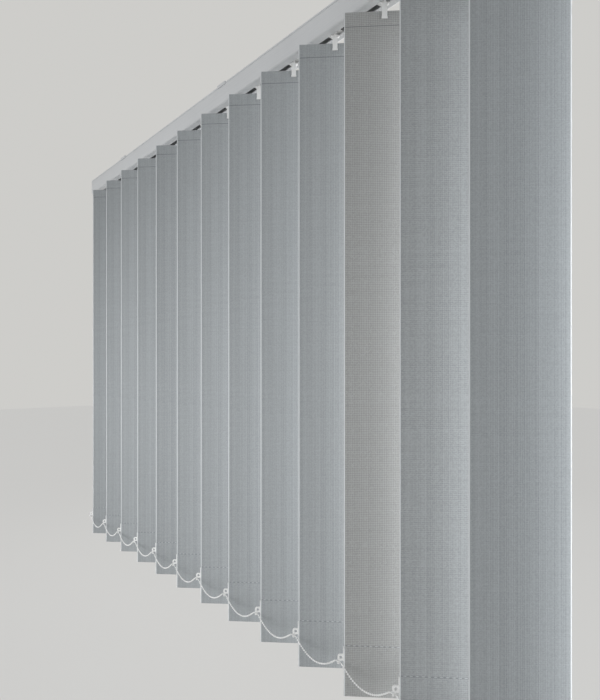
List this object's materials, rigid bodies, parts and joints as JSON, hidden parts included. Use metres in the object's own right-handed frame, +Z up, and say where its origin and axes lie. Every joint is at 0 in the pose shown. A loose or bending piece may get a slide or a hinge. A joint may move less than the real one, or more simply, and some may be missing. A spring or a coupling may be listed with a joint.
{
  "type": "vertical blind",
  "caption": "Wall-fixed headrail with hanging cloth slats on turning stems that tilt together and draw along the rail, weighted and linked below by a bead chain.",
  "frame": {"origin": "on the wall plane, at the centre of the four screw holes of the two outer brackets", "axes": "+X along the headrail towards the control end, +Y into the wall, +Z up"},
  "size_m": [1.623, 0.1396, 1.189],
  "materials": {
    "rail_paint": "satin white paint",
    "white_plastic": "moulded white plastic",
    "rod_metal": "drawn, plain",
    "bead_chain": "moulded white beads",
    "grey_cloth": "fine plain weave, grey"
  },
  "bodies": {
    "frame": {"headrail": "rail_paint", "idle_end_cap": "white_plastic", "control_end_cap": "white_plastic", "brackets": "rail_paint", "carrier_00": "white_plastic"},
    "tilt_drive": {"tilt_rod": "rod_metal", "chain_wheel": "white_plastic"},
    "front_chain_body": {"front_chain": "bead_chain"},
    "rear_chain_body": {"rear_chain": "bead_chain"},
    "hung_slat_00": {"stem_00": "white_plastic", "slat_00": "grey_cloth", "weight_00": "white_plastic"},
    "runner_01": {"carrier_01": "white_plastic"},
    "hung_slat_01": {"stem_01": "white_plastic", "slat_01": "grey_cloth", "weight_01": "white_plastic"},
    "runner_02": {"carrier_02": "white_plastic"},
    "hung_slat_02": {"stem_02": "white_plastic", "slat_02": "grey_cloth", "weight_02": "white_plastic"},
    "runner_03": {"carrier_03": "white_plastic"},
    "hung_slat_03": {"stem_03": "white_plastic", "slat_03": "grey_cloth", "weight_03": "white_plastic"},
    "runner_04": {"carrier_04": "white_plastic"},
    "hung_slat_04": {"stem_04": "white_plastic", "slat_04": "grey_cloth", "weight_04": "white_plastic"},
    "runner_05": {"carrier_05": "white_plastic"},
    "hung_slat_05": {"stem_05": "white_plastic", "slat_05": "grey_cloth", "weight_05": "white_plastic"},
    "runner_06": {"carrier_06": "white_plastic"},
    "hung_slat_06": {"stem_06": "white_plastic", "slat_06": "grey_cloth", "weight_06": "white_plastic"},
    "runner_07": {"carrier_07": "white_plastic"},
    "hung_slat_07": {"stem_07": "white_plastic", "slat_07": "grey_cloth", "weight_07": "white_plastic"},
    "runner_08": {"carrier_08": "white_plastic"},
    "hung_slat_08": {"stem_08": "white_plastic", "slat_08": "grey_cloth", "weight_08": "white_plastic"},
    "runner_09": {"carrier_09": "white_plastic"},
    "hung_slat_09": {"stem_09": "white_plastic", "slat_09": "grey_cloth", "weight_09": "white_plastic"},
    "runner_10": {"carrier_10": "white_plastic"},
    "hung_slat_10": {"stem_10": "white_plastic", "slat_10": "grey_cloth", "weight_10": "white_plastic"},
    "runner_11": {"carrier_11": "white_plastic"},
    "hung_slat_11": {"stem_11": "white_plastic", "slat_11": "grey_cloth", "weight_11": "white_plastic"},
    "runner_12": {"carrier_12": "white_plastic"},
    "hung_slat_12": {"stem_12": "white_plastic", "slat_12": "grey_cloth", "weight_12": "white_plastic"}
  },
  "joints": [
    {"name": "traverse", "type": "slide", "parent": "frame", "child": "runner_12", "axis": [1, 0, 0], "range_m": [-0.936, 0]},
    {"name": "traverse_11", "type": "slide", "parent": "frame", "child": "runner_11", "axis": [1, 0, 0], "range_m": [-0.858, 0]},
    {"name": "traverse_10", "type": "slide", "parent": "frame", "child": "runner_10", "axis": [1, 0, 0], "range_m": [-0.78, 0]},
    {"name": "traverse_09", "type": "slide", "parent": "frame", "child": "runner_09", "axis": [1, 0, 0], "range_m": [-0.702, 0]},
    {"name": "traverse_08", "type": "slide", "parent": "frame", "child": "runner_08", "axis": [1, 0, 0], "range_m": [-0.624, 0]},
    {"name": "traverse_07", "type": "slide", "parent": "frame", "child": "runner_07", "axis": [1, 0, 0], "range_m": [-0.546, 0]},
    {"name": "traverse_06", "type": "slide", "parent": "frame", "child": "runner_06", "axis": [1, 0, 0], "range_m": [-0.468, 0]},
    {"name": "traverse_05", "type": "slide", "parent": "frame", "child": "runner_05", "axis": [1, 0, 0], "range_m": [-0.39, 0]},
    {"name": "traverse_04", "type": "slide", "parent": "frame", "child": "runner_04", "axis": [1, 0, 0], "range_m": [-0.312, 0]},
    {"name": "traverse_03", "type": "slide", "parent": "frame", "child": "runner_03", "axis": [1, 0, 0], "range_m": [-0.234, 0]},
    {"name": "traverse_02", "type": "slide", "parent": "frame", "child": "runner_02", "axis": [1, 0, 0], "range_m": [-0.156, 0]},
    {"name": "traverse_01", "type": "slide", "parent": "frame", "child": "runner_01", "axis": [1, 0, 0], "range_m": [-0.078, 0]},
    {"name": "tilt", "type": "hinge", "parent": "frame", "child": "hung_slat_00", "pos_m": [-0.672, -0.085, 0], "axis": [0, 0, 1], "range_deg": [-26, 114]},
    {"name": "tilt_01", "type": "hinge", "parent": "runner_01", "child": "hung_slat_01", "pos_m": [-0.56, -0.085, 0], "axis": [0, 0, 1], "range_deg": [-26, 114]},
    {"name": "tilt_02", "type": "hinge", "parent": "runner_02", "child": "hung_slat_02", "pos_m": [-0.448, -0.085, 0], "axis": [0, 0, 1], "range_deg": [-26, 114]},
    {"name": "tilt_03", "type": "hinge", "parent": "runner_03", "child": "hung_slat_03", "pos_m": [-0.336, -0.085, 0], "axis": [0, 0, 1], "range_deg": [-26, 114]},
    {"name": "tilt_04", "type": "hinge", "parent": "runner_04", "child": "hung_slat_04", "pos_m": [-0.224, -0.085, 0], "axis": [0, 0, 1], "range_deg": [-26, 114]},
    {"name": "tilt_05", "type": "hinge", "parent": "runner_05", "child": "hung_slat_05", "pos_m": [-0.112, -0.085, 0], "axis": [0, 0, 1], "range_deg": [-26, 114]},
    {"name": "tilt_06", "type": "hinge", "parent": "runner_06", "child": "hung_slat_06", "pos_m": [0, -0.085, 0], "axis": [0, 0, 1], "range_deg": [-26, 114]},
    {"name": "tilt_07", "type": "hinge", "parent": "runner_07", "child": "hung_slat_07", "pos_m": [0.112, -0.085, 0], "axis": [0, 0, 1], "range_deg": [-26, 114]},
    {"name": "tilt_08", "type": "hinge", "parent": "runner_08", "child": "hung_slat_08", "pos_m": [0.224, -0.085, 0], "axis": [0, 0, 1], "range_deg": [-26, 114]},
    {"name": "tilt_09", "type": "hinge", "parent": "runner_09", "child": "hung_slat_09", "pos_m": [0.336, -0.085, 0], "axis": [0, 0, 1], "range_deg": [-26, 114]},
    {"name": "tilt_10", "type": "hinge", "parent": "runner_10", "child": "hung_slat_10", "pos_m": [0.448, -0.085, 0], "axis": [0, 0, 1], "range_deg": [-26, 114]},
    {"name": "tilt_11", "type": "hinge", "parent": "runner_11", "child": "hung_slat_11", "pos_m": [0.56, -0.085, 0], "axis": [0, 0, 1], "range_deg": [-26, 114]},
    {"name": "tilt_12", "type": "hinge", "parent": "runner_12", "child": "hung_slat_12", "pos_m": [0.672, -0.085, 0], "axis": [0, 0, 1], "range_deg": [-26, 114]},
    {"name": "rod_turn", "type": "hinge", "parent": "frame", "child": "tilt_drive", "pos_m": [0, -0.075, -0.04795], "axis": [1, 0, 0], "range_deg": [-312, 1368]},
    {"name": "front_chain_swing", "type": "hinge", "parent": "hung_slat_00", "child": "front_chain_body", "pos_m": [-0.72236, -0.13715, 0], "axis": [0, 0, 1], "range_deg": [-114, 26], "deforming": ["front_chain"]},
    {"name": "rear_chain_swing", "type": "hinge", "parent": "hung_slat_00", "child": "rear_chain_body", "pos_m": [-0.62164, -0.03285, 0], "axis": [0, 0, 1], "range_deg": [-114, 26], "deforming": ["rear_chain"]}
  ],
  "couplings": [
    {"joint": "traverse_11", "follows": "traverse", "ratio": 0.91667},
    {"joint": "traverse_10", "follows": "traverse", "ratio": 0.83333},
    {"joint": "traverse_09", "follows": "traverse", "ratio": 0.75},
    {"joint": "traverse_08", "follows": "traverse", "ratio": 0.66667},
    {"joint": "traverse_07", "follows": "traverse", "ratio": 0.58333},
    {"joint": "traverse_06", "follows": "traverse", "ratio": 0.5},
    {"joint": "traverse_05", "follows": "traverse", "ratio": 0.41667},
    {"joint": "traverse_04", "follows": "traverse", "ratio": 0.33333},
    {"joint": "traverse_03", "follows": "traverse", "ratio": 0.25},
    {"joint": "traverse_02", "follows": "traverse", "ratio": 0.16667},
    {"joint": "traverse_01", "follows": "traverse", "ratio": 0.083333},
    {"joint": "tilt_01", "follows": "tilt", "ratio": 1},
    {"joint": "tilt_02", "follows": "tilt", "ratio": 1},
    {"joint": "tilt_03", "follows": "tilt", "ratio": 1},
    {"joint": "tilt_04", "follows": "tilt", "ratio": 1},
    {"joint": "tilt_05", "follows": "tilt", "ratio": 1},
    {"joint": "tilt_06", "follows": "tilt", "ratio": 1},
    {"joint": "tilt_07", "follows": "tilt", "ratio": 1},
    {"joint": "tilt_08", "follows": "tilt", "ratio": 1},
    {"joint": "tilt_09", "follows": "tilt", "ratio": 1},
    {"joint": "tilt_10", "follows": "tilt", "ratio": 1},
    {"joint": "tilt_11", "follows": "tilt", "ratio": 1},
    {"joint": "tilt_12", "follows": "tilt", "ratio": 1},
    {"joint": "rod_turn", "follows": "tilt", "ratio": 12},
    {"joint": "front_chain_swing", "follows": "tilt", "ratio": -1},
    {"joint": "rear_chain_swing", "follows": "tilt", "ratio": -1}
  ]
}
